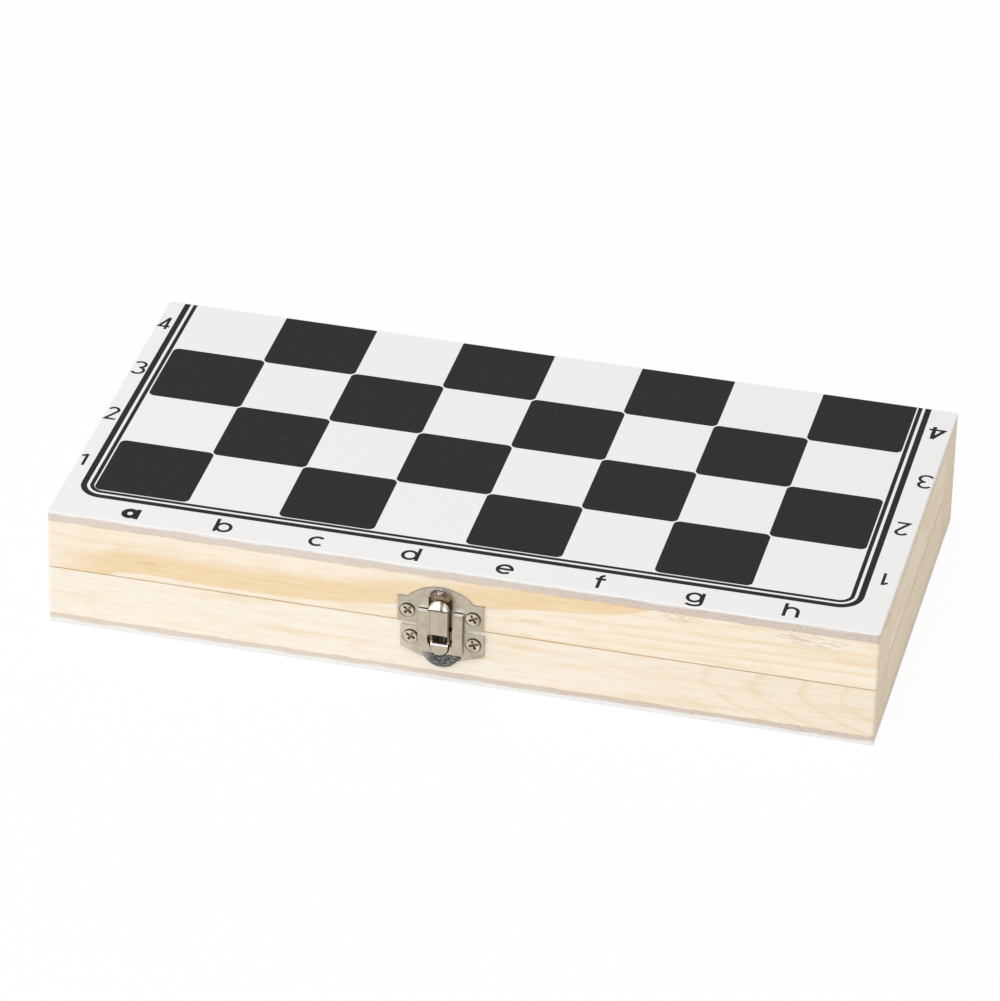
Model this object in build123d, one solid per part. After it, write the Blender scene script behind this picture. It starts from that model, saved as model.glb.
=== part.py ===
from build123d import *
from math import cos, radians, sin
import os

# A folding chess box: two shallow pine trays joined by two small butt hinges along the back, closed by a
# sprung lever latch at the front. Half of the playing board is printed on the outside of each tray.
# Frame: origin at the centre of the bottom face, +X along the length with file a at -X, -Y the latch side,
# +Z up through the closed box. All sizes are in millimetres.

# Driving dimensions of the box: the eight strips are cut from one stock, as wide as the end grain shows
LENGTH = 240.0
DEPTH = 124.0
HEIGHT = 37.0
PANEL = 3.0
WALL = 18.0
SEAM = 0.3
EDGE_ROUND = 1.0
PRINT_EDGE_ROUND = 0.4

# How far a cutter reaches past what it cuts, and how near an edge lies to the side that it is picked from
CUT = 1.0
NEAR = 0.1

MID = HEIGHT / 2
LOWER_RIM = MID - SEAM / 2
UPPER_RIM = MID + SEAM / 2
FRONT = -DEPTH / 2
BACK = DEPTH / 2

# Printed half board: four ranks of eight squares inside a double line that is open at the fold. The dark
# squares are printed larger than their pitch and have round corners, so that they only just stay apart.
SQUARE = 27.25
DARK_SQUARE = 28.0
SQUARE_ROUND = 1.9
BOARD_LEFT = -110.5
BOARD_FRONT = -46.6
FILES = 8
RANKS = 4
INK = 0.1
THIN_LINE = 1.2
THIN_GAP = 0.8
THICK_LINE = 1.8
THICK_GAP = 0.85
BORDER_ROUND = 7.0
FOLD_MARGIN = 0.4

# Butt hinges let into the rims of the two back walls
HINGE_X = 75.0
HINGE_LENGTH = 25.0
HINGE_AXIS_Y = BACK + SEAM / 2
KNUCKLE_R = 1.5
HINGE_PIN_R = 0.8
HINGE_PLAY = 0.05
KNUCKLE_GAP = 0.2
LEAF_T = 0.7
LEAF_REACH = 8.15
KNUCKLE_NOTCH = 0.3
KNUCKLE_ROOT = 1.0
HINGE_SCREW_X = 8.0
HINGE_SCREW_Y = 4.9
HINGE_SCREW_HEAD_R = 1.6
HINGE_SCREW_R = 0.85
HINGE_SCREW_LENGTH = 8.0
LOWER_HINGE_TURNS = (12, 50, 33, 71)
UPPER_HINGE_TURNS = (64, 25, 5, 40)

# Pressed latch, measured from its own centre line: across, up the wall and proud of the wall
LATCH_X = -4.4
SHEET = 0.8
PLATE_ROUND = 0.4
STRIKE_SHIFT = -0.3
EAR_SHIFT = 0.3
STRIKE_HALF = 12.4
STRIKE_EAR_TOP = 27.3
STRIKE_SHOULDER = 9.6
STRIKE_FLARE = 1.2
STRIKE_TOP = 31.6
STRIKE_LIFT = 0.05
STRIKE_SCREW = (9.5, 22.5)
WINDOW_HALF = 3.45
WINDOW_BOTTOM = 24.3
HOOD_R = 3.15
HOOD_BOTTOM = 27.9
HOOD_PROUD = 2.9
HOOD_SHEET = 0.7
BASE_HALF = 12.15
BASE_EAR = (10.3, 17.5)
BASE_SCREW = (9.15, 13.9)
BASE_FOOT_R = 5.55
BASE_FOOT = 5.05
FOOT_TANGENT = 58.0
CHANNEL_HALF = 6.6
CHANNEL_PROUD = 2.4
CHANNEL = (10.6, 23.95)
CHANNEL_EDGE = 1.15
CHANNEL_ROUND = 0.6
SLOT_HALF = 3.6
SLOT_BOTTOM = 9.95
SLOT_END_R = 2.9
SLOT_NECK = 14.8

LATCH_PIN = (17.2, 1.5)
LATCH_PIN_R = 0.55
LATCH_PLAY = 0.05
LATCH_PIN_HALF = 3.9
LUG = (3.05, 3.75)
LUG_UP = (15.6, 18.3)
LUG_PROUD = 2.2
BOSS_R = 1.1

LEVER_T = 0.7
LEVER_HALF = 2.85
LEVER_PROUD = 5.5
LEVER_FACE = (18.4, 26.6)
DOME = 2.1
DOME_STEPS = 6
LEVER_BACK = 1.3
CHEEK_KNEE = (17.3, 2.9)
CHEEK_FOOT = (15.2, 2.2)
CHEEK_BACK = 1.6
TAIL_HALF = 2.5
TAIL_PROUD = 3.0
TAIL = (10.4, 14.1)
TAIL_ROLL_R = 0.9
LEVER_RECESS = 0.25
LEVER_RIM = 0.55

SPRING_WIRE_R = 0.2
SPRING_ELBOW_R = 0.22
SPRING_LAP = 0.05
SPRING_COIL_R = 0.85
SPRING_PITCH = 0.55
SPRING_TURNS = 4
SPRING_WALL_FOOT = (12.3, 0.25)
SPRING_TAIL_FOOT = (11.9, 2.05)

LATCH_SCREW_HEAD_R = 2.1
LATCH_SCREW_R = 0.95
LATCH_SCREW_LENGTH = 7.5
LATCH_SCREW_SEAT_R = 2.45
LATCH_SCREW_SEAT = 0.35
LATCH_SCREW_SINK = 0.1
LATCH_PLATE_TURNS = (62, 20)
STRIKE_PLATE_TURNS = (50, 28)
CROSS_LENGTH = 2.9
CROSS_WIDTH = 0.75
CROSS_DEPTH = 0.7
HEAD_RIM = 0.15

# The length of a screw's point, in shank radii
SCREW_POINT = 1.8

# Sketch frame of the latch: X across, Y up the wall, Z proud of the wall
WALL_FACE = Plane(origin=(LATCH_X, FRONT, 0), x_dir=(1, 0, 0), z_dir=(0, -1, 0))


def block(x, y, z):
    """A box between pairs of limits along each axis."""
    size = [limits[1] - limits[0] for limits in (x, y, z)]
    middle = [(limits[1] + limits[0]) / 2 for limits in (x, y, z)]
    return Pos(*middle) * Box(*size)


def outer_corners(plate, half):
    """The plate's upright edges that lie on its two outer sides."""
    return plate.edges().filter_by(Axis.Z).filter_by(lambda edge: abs(edge.center().X) > half - NEAR)


def side_profile(points, half):
    """A closed outline of (up, proud) points, thickened evenly across the latch."""
    return extrude(Plane.YZ * make_face(Polyline(*points, close=True)), half, both=True)


# Frame and panels

def panel(bottom, print_side):
    """One thin board with rounded edges, softer on the side that lies on the frame."""
    board = block((-LENGTH / 2, LENGTH / 2), (FRONT, BACK), (bottom, bottom + PANEL))
    board = fillet(board.edges().filter_by(Axis.Z), EDGE_ROUND)
    printed = board.faces().sort_by(Axis.Z)[-1 if print_side > 0 else 0]
    return fillet(printed.edges(), PRINT_EDGE_ROUND)


def long_wall(y, z):
    """A front or back strip over the whole length, with its two outer corners rounded."""
    strip = block((-LENGTH / 2, LENGTH / 2), y, z)
    outer = strip.edges().filter_by(Axis.Z).sort_by(lambda edge: abs(edge.center().Y))[-2:]
    return fillet(outer, EDGE_ROUND)


def end_wall(side, z):
    """A short strip between the two long walls."""
    x = sorted((side * LENGTH / 2, side * (LENGTH / 2 - WALL)))
    return block(x, (FRONT + WALL, BACK - WALL), z)


# Printed half board

def border_line(outset, width):
    """One line round three sides of the squares, with rounded front corners, open at the fold."""
    def outline(step):
        left = BOARD_LEFT - step
        right = BOARD_LEFT + FILES * SQUARE + step
        front = BOARD_FRONT - step
        sheet = Pos((left + right) / 2, (front + BACK) / 2) * Rectangle(right - left, BACK - front)
        corners = sheet.vertices().sort_by(Axis.Y)[:2]
        return fillet(corners, BORDER_ROUND - (THICK_GAP + THIN_LINE + THIN_GAP + THICK_LINE - step))
    return outline(outset + width) - outline(outset)


def board_ink(dark_corner):
    """One printed half: dark squares, starting dark or light at file a's front corner, and the border."""
    squares = []
    for file in range(FILES):
        for rank in range(RANKS):
            if (file + rank) % 2 == (0 if dark_corner else 1):
                x = BOARD_LEFT + (file + 0.5) * SQUARE
                y = BOARD_FRONT + (rank + 0.5) * SQUARE
                squares.append(Pos(x, y) * RectangleRounded(DARK_SQUARE, DARK_SQUARE, SQUARE_ROUND))
    lines = [border_line(THIN_GAP, THIN_LINE), border_line(THIN_GAP + THIN_LINE + THICK_GAP, THICK_LINE)]
    fold = Pos(0, BACK + SQUARE / 2 - FOLD_MARGIN) * Rectangle(LENGTH, SQUARE)
    return [shape - fold for shape in squares + lines]


def ink_solids(bottom, dark_corner):
    """The ink as separate thin solids that lie flush in the panel's face."""
    return Compound(children=[
        Pos(0, 0, bottom) * extrude(shape, INK) for shape in board_ink(dark_corner)
    ])


# Fasteners

def screw_blank(head_r, radius, length):
    """A countersunk wood screw along -Z with its flat head's top at Z 0, as a turned outline."""
    outline = [
        (0, 0), (head_r, 0), (head_r, -HEAD_RIM), (radius, -HEAD_RIM - (head_r - radius)),
        (radius, -(length - SCREW_POINT * radius)), (0, -length),
    ]
    return revolve(Plane.XZ * make_face(Polyline(*outline, close=True)), Axis.Z)


def cross_recess(turn):
    """The cross cut into a screw's head."""
    depth = CROSS_DEPTH + CUT
    arm = Pos(0, 0, CUT - depth / 2) * Box(CROSS_LENGTH, CROSS_WIDTH, depth)
    return Rot(0, 0, turn) * (arm + Rot(0, 0, 90) * arm)


def latch_screw_blank():
    """The latch's screw without its recess."""
    return screw_blank(LATCH_SCREW_HEAD_R, LATCH_SCREW_R, LATCH_SCREW_LENGTH)


def hinge_screw_blank():
    """The hinges' screw without its recess."""
    return screw_blank(HINGE_SCREW_HEAD_R, HINGE_SCREW_R, HINGE_SCREW_LENGTH)


def latch_screw_places(spot, shift):
    """The tops of a plate's two screws, a little below the outside of the sheet."""
    return [WALL_FACE * Pos(shift + side * spot[0], spot[1], SHEET - LATCH_SCREW_SINK) for side in (-1, 1)]


def hinge_screw_places(upper):
    """The seats of the screws of both hinges in one rim, heads towards the seam."""
    places = []
    for x in (-HINGE_X, HINGE_X):
        for side in (-1, 1):
            z = UPPER_RIM if upper else LOWER_RIM
            flip = Rot(180, 0, 0) if upper else Rot(0, 0, 0)
            places.append(Pos(x + side * HINGE_SCREW_X, HINGE_AXIS_Y - HINGE_SCREW_Y, z) * flip)
    return places


def screws(places, blank, turns):
    """One solid a screw, each with its cross turned by its own angle."""
    return Compound(children=[place * (blank - cross_recess(turn)) for place, turn in zip(places, turns)])


# Hinges

def knuckle_spans():
    """The three knuckles of a hinge along X, from its own middle: ends on the lower leaf."""
    third = HINGE_LENGTH / 3
    edges = [-HINGE_LENGTH / 2 + third * count for count in range(4)]
    gap = KNUCKLE_GAP / 2
    return [(edges[0], edges[1] - gap), (edges[1] + gap, edges[2] - gap), (edges[2] + gap, edges[3])]


def hinge_leaf(x, upper):
    """One swaged leaf with its knuckles, its screw holes countersunk, flush with its rim."""
    side = 1 if upper else -1
    spans = knuckle_spans()
    own = spans[1:2] if upper else spans[0:3:2]
    near = SEAM / 2
    z = sorted((side * near, side * (near + LEAF_T)))
    reach = (-LEAF_REACH, -KNUCKLE_R - KNUCKLE_NOTCH)
    leaf = block((-HINGE_LENGTH / 2, HINGE_LENGTH / 2), reach, z)
    leaf = fillet(leaf.edges().filter_by(Axis.Z).sort_by(Axis.Y)[:2], EDGE_ROUND)
    bore = HINGE_PIN_R + (HINGE_PLAY if upper else 0)
    for start, end in own:
        barrel = Pos((start + end) / 2) * Rot(0, 90, 0) * Cylinder(KNUCKLE_R, end - start)
        root = block((start, end), (reach[1] - KNUCKLE_ROOT, -(KNUCKLE_R + HINGE_PIN_R) / 2), z)
        leaf = leaf + barrel + root
    leaf = leaf - Rot(0, 90, 0) * Cylinder(bore, HINGE_LENGTH)
    leaf = Pos(x, HINGE_AXIS_Y, MID) * leaf
    for place in hinge_screw_places(upper):
        leaf = leaf - place * hinge_screw_blank()
    return leaf


def hinge_cutter(x):
    """The space for one hinge in both rims: the leaves' beds and the round notch for the barrel."""
    bed = block((-HINGE_LENGTH / 2, HINGE_LENGTH / 2), (-LEAF_REACH, 0),
                (-SEAM / 2 - LEAF_T, SEAM / 2 + LEAF_T))
    notch = Rot(0, 90, 0) * Cylinder(KNUCKLE_R + KNUCKLE_NOTCH, HINGE_LENGTH + 2 * KNUCKLE_GAP)
    return Pos(x, HINGE_AXIS_Y, MID) * (bed + notch)


def hinge_pin(x):
    """The pin, flush with the ends of the barrel."""
    return Pos(x, HINGE_AXIS_Y, MID) * Rot(0, 90, 0) * Cylinder(HINGE_PIN_R, HINGE_LENGTH)


# Latch

def strike_plate():
    """The upper plate: ears, an arched top, a window for the lever's nose and the lanced hood over it."""
    foot = UPPER_RIM + STRIKE_LIFT
    outline = [
        Line((-STRIKE_SHOULDER, STRIKE_EAR_TOP), (-STRIKE_HALF, STRIKE_EAR_TOP)),
        Line((-STRIKE_HALF, STRIKE_EAR_TOP), (-STRIKE_HALF, foot)),
        Line((-STRIKE_HALF, foot), (STRIKE_HALF, foot)),
        Line((STRIKE_HALF, foot), (STRIKE_HALF, STRIKE_EAR_TOP)),
        Line((STRIKE_HALF, STRIKE_EAR_TOP), (STRIKE_SHOULDER, STRIKE_EAR_TOP)),
        ThreePointArc((STRIKE_SHOULDER, STRIKE_EAR_TOP), (0, STRIKE_TOP), (-STRIKE_SHOULDER, STRIKE_EAR_TOP)),
    ]
    plate = extrude(make_face(outline), SHEET)
    plate = fillet(outer_corners(plate, STRIKE_HALF), PLATE_ROUND)
    shoulders = plate.edges().filter_by(Axis.Z).filter_by(
        lambda edge: abs(abs(edge.center().X) - STRIKE_SHOULDER) < NEAR)
    plate = fillet(shoulders, STRIKE_FLARE)
    plate = plate - block((-WINDOW_HALF, WINDOW_HALF), (WINDOW_BOTTOM, HOOD_BOTTOM), (-CUT, HOOD_PROUD))
    outer, hollow = hood_ball(0), hood_ball(HOOD_SHEET)
    plate = Pos(STRIKE_SHIFT, 0, 0) * ((plate + outer) - hollow)
    return drill_seats(WALL_FACE * plate, STRIKE_SCREW, STRIKE_SHIFT)


def hood_ball(inset):
    """The upper half of the hood's bulge, above its open lower edge, for its outside or its inside."""
    radius = ball_radius(HOOD_R, HOOD_PROUD - SHEET)
    above = block((-HOOD_R - CUT, HOOD_R + CUT), (HOOD_BOTTOM, STRIKE_TOP), (-inset, HOOD_PROUD))
    return Pos(0, HOOD_BOTTOM, HOOD_PROUD - radius) * Sphere(radius - inset) & above


def ball_radius(base, rise):
    """The radius of the ball whose cap has this base radius and this rise."""
    return (base ** 2 + rise ** 2) / (2 * rise)


def drill_seats(plate, spot, shift):
    """A plate with its two countersunk screw holes and the shallow seats round them."""
    middle = LATCH_SCREW_SINK - LATCH_SCREW_SEAT / 2
    seat = Pos(0, 0, middle) * Cylinder(LATCH_SCREW_SEAT_R, LATCH_SCREW_SEAT)
    for place in latch_screw_places(spot, shift):
        plate = plate - place * (latch_screw_blank() + seat)
    return plate


def latch_plate():
    """The lower plate: ears, round foot, raised channel, domed foot face, slot and two lugs for the pin."""
    turn = radians(FOOT_TANGENT)
    foot_y = BASE_FOOT + BASE_FOOT_R
    touch = (BASE_FOOT_R * sin(turn), foot_y - BASE_FOOT_R * cos(turn))
    left, right = EAR_SHIFT - BASE_HALF, EAR_SHIFT + BASE_HALF
    outline = [
        Line((-touch[0], touch[1]), (left, BASE_EAR[0])),
        Line((left, BASE_EAR[0]), (left, BASE_EAR[1])),
        Line((left, BASE_EAR[1]), (right, BASE_EAR[1])),
        Line((right, BASE_EAR[1]), (right, BASE_EAR[0])),
        Line((right, BASE_EAR[0]), touch),
        ThreePointArc(touch, (0, BASE_FOOT), (-touch[0], touch[1])),
    ]
    ears = extrude(make_face(outline), SHEET)
    ears = fillet(outer_corners(ears, BASE_HALF - EAR_SHIFT), PLATE_ROUND)

    radius = ball_radius(BASE_FOOT_R, CHANNEL_PROUD - SHEET)
    centre = Pos(0, foot_y, CHANNEL_PROUD - radius)
    below = block((-BASE_FOOT_R, BASE_FOOT_R), (BASE_FOOT, CHANNEL[0] + SHEET), (0, CHANNEL_PROUD))
    foot, hollow = [
        centre * Sphere(radius - inset) & below & Pos(0, foot_y) * Cylinder(BASE_FOOT_R - inset, 2 * HEIGHT)
        for inset in (0, SHEET)
    ]

    raised = block((-CHANNEL_HALF, CHANNEL_HALF), CHANNEL, (0, CHANNEL_PROUD))
    raised = fillet(raised.edges().filter_by(Axis.Y).sort_by(Axis.Z)[-2:], CHANNEL_ROUND)
    inner = block((-CHANNEL_HALF + SHEET, CHANNEL_HALF - SHEET), (CHANNEL[0] + SHEET, CHANNEL[1] - SHEET),
                  (-CUT, CHANNEL_PROUD - SHEET))
    plate = (ears + raised + foot) - inner - hollow
    plate = plate - block((-CHANNEL_HALF, CHANNEL_HALF), (BASE_EAR[1], CHANNEL[1]), (-CUT, CHANNEL_EDGE))

    slot_low, slot_high, through = SLOT_BOTTOM + SLOT_END_R, CHANNEL[1] + CUT, CHANNEL_PROUD + 2 * CUT
    slot_outline = [
        (-SLOT_HALF, slot_high), (-SLOT_HALF, SLOT_NECK), (-SLOT_END_R, slot_low),
        (SLOT_END_R, slot_low), (SLOT_HALF, SLOT_NECK), (SLOT_HALF, slot_high),
    ]
    slot = Pos(0, 0, -CUT) * extrude(make_face(Polyline(*slot_outline, close=True)), through)
    plate = plate - slot - Pos(0, slot_low, CHANNEL_PROUD / 2) * Cylinder(SLOT_END_R, through)

    pin_up, pin_proud = LATCH_PIN
    for side in (-1, 1):
        x = sorted((side * LUG[0], side * LUG[1]))
        plate = plate + block(x, LUG_UP, (pin_proud - BOSS_R, LUG_PROUD))
    plate = plate - Pos(0, pin_up, pin_proud) * Rot(0, 90, 0) * Cylinder(LATCH_PIN_R, 2 * LATCH_PIN_HALF)
    return drill_seats(WALL_FACE * plate, BASE_SCREW, EAR_SHIFT)


def latch_pin():
    """The pin through both lugs."""
    pin = Pos(0, *LATCH_PIN) * Rot(0, 90, 0) * Cylinder(LATCH_PIN_R, 2 * LATCH_PIN_HALF)
    return WALL_FACE * pin


def dome(half, rise):
    """The lever's head above its face: arches that grow towards the back, so that it curves both ways."""
    up = LEVER_FACE[1]
    arches = []
    for step in range(1, DOME_STEPS + 1):
        turn = radians(90 * step / DOME_STEPS)
        arch = ThreePointArc((half, up), (0, up + rise * sin(turn)), (-half, up))
        sheet = make_face([Line((-half, up), (half, up)), arch])
        arches.append(Pos(0, 0, LEVER_PROUD - DOME + rise * cos(turn)) * sheet)
    return loft(arches)


def lever():
    """The lever: two cheeks on the pin, the raised face with its domed head, and the rolled thumb tail."""
    pin_up, pin_proud = LATCH_PIN
    tail_end = TAIL[0] + TAIL_HALF
    roll_up = TAIL[1] - TAIL_ROLL_R
    behind_pin = pin_proud - BOSS_R / 2
    cheek_outline = [
        (LEVER_FACE[0], LEVER_PROUD), (LEVER_FACE[1], LEVER_PROUD), (LEVER_FACE[1], LEVER_PROUD - DOME),
        (WINDOW_BOTTOM, LEVER_BACK), (LEVER_FACE[0], LEVER_BACK), (pin_up, behind_pin),
        (pin_up - BOSS_R, behind_pin), (roll_up, CHEEK_BACK), (roll_up, CHEEK_FOOT[1]),
        CHEEK_FOOT, CHEEK_KNEE,
    ]
    on_pin = Pos(0, pin_up, pin_proud) * Rot(0, 90, 0)
    inner = LEVER_HALF - LEVER_T
    between = block((-inner, inner), (0, HEIGHT), (-SHEET, 2 * LEVER_PROUD))
    narrow = block((-TAIL_HALF, TAIL_HALF), (0, HEIGHT), (-SHEET, 2 * LEVER_PROUD))
    low = block((-LEVER_HALF, LEVER_HALF), (0, TAIL[1]), (-SHEET, 2 * LEVER_PROUD))
    boss = on_pin * Cylinder(BOSS_R, 2 * LEVER_HALF)
    cheeks = side_profile(cheek_outline, LEVER_HALF) + boss - between - (low - narrow)

    face = block((-LEVER_HALF, LEVER_HALF), LEVER_FACE, (LEVER_PROUD - LEVER_T, LEVER_PROUD))
    rim = LEVER_HALF - LEVER_RIM
    recess = block((-rim, rim), (0, LEVER_FACE[1] - LEVER_RECESS), (LEVER_PROUD - LEVER_RECESS, HEIGHT))
    head = dome(LEVER_HALF, DOME) - dome(inner, DOME - LEVER_T)

    web = (TAIL_PROUD - LEVER_T, TAIL_PROUD)
    tail = Pos(0, tail_end, TAIL_PROUD) * Cylinder(TAIL_HALF, 2 * LEVER_T)
    tail = tail & block((-TAIL_HALF, TAIL_HALF), TAIL, web)
    tail = tail + block((-TAIL_HALF, TAIL_HALF), (tail_end, roll_up), web)
    bend = Cylinder(TAIL_ROLL_R, 2 * TAIL_HALF) - Cylinder(TAIL_ROLL_R - LEVER_T, 2 * TAIL_HALF)
    roll = Pos(0, roll_up, TAIL_PROUD - TAIL_ROLL_R) * Rot(0, 90, 0) * bend
    roll = roll & block((-TAIL_HALF, TAIL_HALF), (roll_up, TAIL[1]), (TAIL_PROUD - TAIL_ROLL_R, TAIL_PROUD))

    body = cheeks + face + head + tail + roll - recess
    return WALL_FACE * (body - on_pin * Cylinder(LATCH_PIN_R + LATCH_PLAY, 4 * LEVER_HALF))


def latch_spring():
    """A torsion spring on the pin: one leg bears on the wall, the other behind the lever's tail."""
    pin_up, pin_proud = LATCH_PIN
    height = SPRING_PITCH * SPRING_TURNS
    path = Helix(pitch=SPRING_PITCH, height=height, radius=SPRING_COIL_R)
    wire = Plane(origin=path @ 0, z_dir=path % 0) * Circle(SPRING_WIRE_R)
    spring = Pos(-height / 2, pin_up, pin_proud) * Rot(0, 90, 0) * sweep(wire, path=path)
    for x, (foot_up, foot_proud) in ((-height / 2, SPRING_WALL_FOOT), (height / 2, SPRING_TAIL_FOOT)):
        top = Vector(x, pin_up + SPRING_LAP, pin_proud - SPRING_COIL_R)
        foot = Vector(x, foot_up, foot_proud)
        run = foot - top
        leg = Plane(origin=top, z_dir=run) * Pos(0, 0, run.length / 2) * Cylinder(SPRING_WIRE_R, run.length)
        spring = spring + (leg + Pos(*top) * Sphere(SPRING_ELBOW_R) + Pos(*foot) * Sphere(SPRING_ELBOW_R))
    return WALL_FACE * spring


# Assembly

def walls():
    """The eight strips of the two frames, cut for the hinges and drilled for the screws."""
    lower = (PANEL, LOWER_RIM)
    upper = (UPPER_RIM, HEIGHT - PANEL)
    made = {}
    for half, z in (("lower", lower), ("upper", upper)):
        made[half + "_front_wall"] = long_wall((FRONT, FRONT + WALL), z)
        made[half + "_back_wall"] = long_wall((BACK - WALL, BACK), z)
        made[half + "_left_wall"] = end_wall(-1, z)
        made[half + "_right_wall"] = end_wall(1, z)
        for x in (-HINGE_X, HINGE_X):
            made[half + "_back_wall"] -= hinge_cutter(x)
        for place in hinge_screw_places(half == "upper"):
            made[half + "_back_wall"] -= place * hinge_screw_blank()
    for place in latch_screw_places(BASE_SCREW, EAR_SHIFT):
        made["lower_front_wall"] -= place * latch_screw_blank()
    for place in latch_screw_places(STRIKE_SCREW, STRIKE_SHIFT):
        made["upper_front_wall"] -= place * latch_screw_blank()
    return made


def boards():
    """Both panels with their ink let in flush: the lid carries ranks 1 to 4, the base 8 to 5."""
    top_ink = ink_solids(HEIGHT - INK, True)
    bottom_ink = ink_solids(0, False)
    return {
        "top_panel": panel(HEIGHT - PANEL, 1) - top_ink,
        "top_board_print": top_ink,
        "bottom_panel": panel(0, -1) - bottom_ink,
        "bottom_board_print": bottom_ink,
    }


def hinges():
    """Both hinges with their pins and screws."""
    made = {}
    for name, x in (("left", -HINGE_X), ("right", HINGE_X)):
        made[name + "_hinge_lower_leaf"] = hinge_leaf(x, False)
        made[name + "_hinge_upper_leaf"] = hinge_leaf(x, True)
        made[name + "_hinge_pin"] = hinge_pin(x)
    made["lower_hinge_screws"] = screws(hinge_screw_places(False), hinge_screw_blank(), LOWER_HINGE_TURNS)
    made["upper_hinge_screws"] = screws(hinge_screw_places(True), hinge_screw_blank(), UPPER_HINGE_TURNS)
    return made


def latch():
    """The latch's plates, lever, pin, spring and screws."""
    blank = latch_screw_blank()
    base_places = latch_screw_places(BASE_SCREW, EAR_SHIFT)
    strike_places = latch_screw_places(STRIKE_SCREW, STRIKE_SHIFT)
    return {
        "latch_plate": latch_plate(),
        "latch_lever": lever(),
        "latch_pin": latch_pin(),
        "latch_spring": latch_spring(),
        "strike_plate": strike_plate(),
        "latch_plate_screws": screws(base_places, blank, LATCH_PLATE_TURNS),
        "strike_plate_screws": screws(strike_places, blank, STRIKE_PLATE_TURNS),
    }


os.makedirs("parts", exist_ok=True)
nodes = {**boards(), **walls(), **hinges(), **latch()}
for node, shape in nodes.items():
    export_step(shape, f"parts/{node}.step")
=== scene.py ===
"""A folding chess box in pine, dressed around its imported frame.

The file holds the finishes, the printed coordinates, the sub-assemblies, and the studio's light and camera.
"""

import logging
from dataclasses import dataclass, field, replace
from enum import Enum
from functools import reduce
from math import ceil, cos, radians, sin
from typing import Any, Callable

import bmesh
import bpy
from mathutils import Matrix, Vector
from mathutils.geometry import delaunay_2d_cdt


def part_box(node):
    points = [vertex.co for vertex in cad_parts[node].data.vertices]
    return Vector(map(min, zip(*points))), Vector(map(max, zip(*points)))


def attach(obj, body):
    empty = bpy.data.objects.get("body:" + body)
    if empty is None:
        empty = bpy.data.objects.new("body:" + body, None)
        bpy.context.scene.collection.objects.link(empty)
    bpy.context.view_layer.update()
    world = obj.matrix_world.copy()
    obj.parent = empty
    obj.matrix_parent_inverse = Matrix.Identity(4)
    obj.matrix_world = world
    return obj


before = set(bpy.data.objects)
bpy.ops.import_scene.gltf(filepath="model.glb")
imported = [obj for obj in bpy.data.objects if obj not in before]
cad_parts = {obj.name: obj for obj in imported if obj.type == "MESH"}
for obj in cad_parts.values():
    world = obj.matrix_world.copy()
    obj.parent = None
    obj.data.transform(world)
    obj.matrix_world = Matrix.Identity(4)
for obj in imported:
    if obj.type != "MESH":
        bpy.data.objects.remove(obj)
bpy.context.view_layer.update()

log = logging.getLogger("chess_box")

MM = 0.001

# The box along its length, the outside of its front wall, its height and its seam, in millimetres
LENGTH = (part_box("top_panel")[1].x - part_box("top_panel")[0].x) / MM
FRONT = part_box("upper_front_wall")[0].y / MM
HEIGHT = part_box("top_panel")[1].z / MM
SEAM = (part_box("upper_front_wall")[0].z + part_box("lower_front_wall")[1].z) / 2 / MM

# The middle of the latch along the box, and the half width and the heights of the window behind its lever
LATCH_X = (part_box("latch_lever")[0].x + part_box("latch_lever")[1].x) / 2 / MM
WINDOW = (5.0, 9.0, 29.0)

# The heights at which the strips are glued to the lower and the upper panel
LOWER_GLUE = 3.0
UPPER_GLUE = 34.0

# Flow of the upper front strip's grain: places along the strip and heights, both in millimetres
FLOW = (
    (-120, 18.0), (-104, 18.4), (-98, 20.2), (-70, 19.8), (-41, 20.6), (-17, 23.4), (8, 26.2), (28, 28.6),
    (40, 29.7), (46, 30.8), (51, 32.4), (56, 34.0), (61, 36.6), (120, 36.9),
)

Point = tuple[float, float]
Point3 = tuple[float, float, float]
Rgba = tuple[float, float, float, float]
Axes = tuple[str, str, str]
Strokes = list[list[Point]]
Tree = bpy.types.ShaderNodeTree
Node = bpy.types.Node
Thing = bpy.types.Object


class Body(Enum):
    """The bodies that printed pieces ride on."""

    BASE = "base"
    LID = "lid"


class Grain(Enum):
    """The way a strip's grain runs: the object axes for its length, its depth and its height."""

    ALONG_BOX = ("X", "Y", "Z")
    ACROSS_BOX = ("Y", "X", "Z")


class Mix(Enum):
    """How a colour goes over another."""

    COVER = "MIX"
    TINT = "MULTIPLY"


# Node helpers


def linear(code: str) -> Rgba:
    """Turns an sRGB hex colour into a linear one.

    Args:
        code: The colour as #RRGGBB.

    Returns:
        Its linear red, green and blue with an alpha of 1.
    """
    channels = [int(code[start:start + 2], 16) / 255 for start in (1, 3, 5)]
    red, green, blue = [c / 12.92 if c <= 0.04045 else ((c + 0.055) / 1.055) ** 2.4 for c in channels]
    return red, green, blue, 1.0


def add(tree: Tree, kind: str, inputs: dict[Any, Any] | None = None, **settings: Any) -> "Value":
    """Adds one node with its settings, values and links.

    Args:
        tree: The tree that gets the node.
        kind: The node's type, without its ShaderNode prefix.
        inputs: What each input holds, by name or number: a value in the tree, a hex colour or a constant.
        settings: The node's own properties.

    Returns:
        What the node's first output gives.
    """
    node = tree.nodes.new("ShaderNode" + kind)
    for key, setting in settings.items():
        setattr(node, key, setting)
    for key, source in (inputs or {}).items():
        if isinstance(source, Value):
            tree.links.new(source.node.outputs[source.key], node.inputs[key])
        else:
            node.inputs[key].default_value = linear(source) if isinstance(source, str) else source
    return Value(node)


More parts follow.
